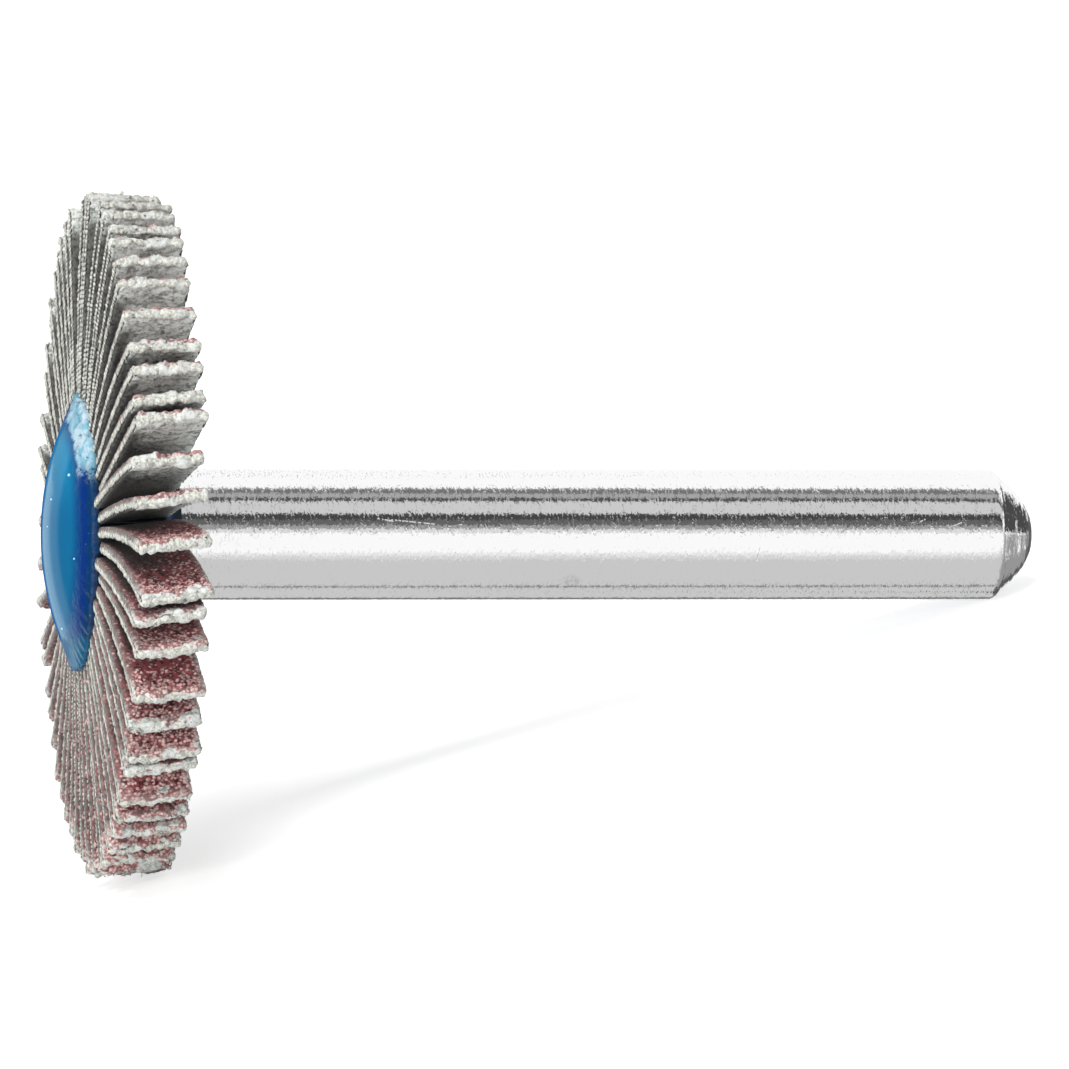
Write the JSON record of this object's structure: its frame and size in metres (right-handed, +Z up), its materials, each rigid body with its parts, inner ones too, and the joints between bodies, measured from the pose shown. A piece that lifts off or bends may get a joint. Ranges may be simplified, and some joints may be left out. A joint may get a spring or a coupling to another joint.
{
  "type": "flap wheel",
  "caption": "Mounted flap wheel: a ring of abrasive cloth flaps set in a domed resin hub on a straight round steel shank, for grinding and deburring with a rotary tool.",
  "frame": {"origin": "on the ground under the middle of the part's box, the wheel lying on two flaps and its shank end", "axes": "+Z up, +X along the ground from the wheel to the shank's end, +Y to its left"},
  "size_m": [0.0466, 0.0312, 0.0305],
  "materials": {
    "abrasive_cloth": "grey cloth faced with maroon grain, frayed at its cut edges",
    "blue_resin": "glossy cast resin",
    "ground_steel": "ground, with fine marks"
  },
  "bodies": {
    "root": {"flap_01": "abrasive_cloth", "flap_02": "abrasive_cloth", "flap_03": "abrasive_cloth", "flap_04": "abrasive_cloth", "flap_05": "abrasive_cloth", "flap_06": "abrasive_cloth", "flap_07": "abrasive_cloth", "flap_08": "abrasive_cloth", "flap_09": "abrasive_cloth", "flap_10": "abrasive_cloth", "flap_11": "abrasive_cloth", "flap_12": "abrasive_cloth", "flap_13": "abrasive_cloth", "flap_14": "abrasive_cloth", "flap_15": "abrasive_cloth", "flap_16": "abrasive_cloth", "flap_17": "abrasive_cloth", "flap_18": "abrasive_cloth", "flap_19": "abrasive_cloth", "flap_20": "abrasive_cloth", "flap_21": "abrasive_cloth", "flap_22": "abrasive_cloth", "flap_23": "abrasive_cloth", "flap_24": "abrasive_cloth", "flap_25": "abrasive_cloth", "flap_26": "abrasive_cloth", "flap_27": "abrasive_cloth", "flap_28": "abrasive_cloth", "flap_29": "abrasive_cloth", "flap_30": "abrasive_cloth", "flap_31": "abrasive_cloth", "flap_32": "abrasive_cloth", "flap_33": "abrasive_cloth", "flap_34": "abrasive_cloth", "flap_35": "abrasive_cloth", "flap_36": "abrasive_cloth", "flap_37": "abrasive_cloth", "flap_38": "abrasive_cloth", "flap_39": "abrasive_cloth", "flap_40": "abrasive_cloth", "flap_41": "abrasive_cloth", "flap_42": "abrasive_cloth", "flap_43": "abrasive_cloth", "flap_44": "abrasive_cloth", "flap_45": "abrasive_cloth", "flap_46": "abrasive_cloth", "flap_47": "abrasive_cloth", "flap_48": "abrasive_cloth", "flap_49": "abrasive_cloth", "flap_50": "abrasive_cloth", "flap_51": "abrasive_cloth", "flap_52": "abrasive_cloth", "flap_53": "abrasive_cloth", "flap_54": "abrasive_cloth", "flap_55": "abrasive_cloth", "flap_56": "abrasive_cloth", "flap_57": "abrasive_cloth", "flap_58": "abrasive_cloth", "resin_hub": "blue_resin", "shank": "ground_steel"}
  },
  "joints": []
}
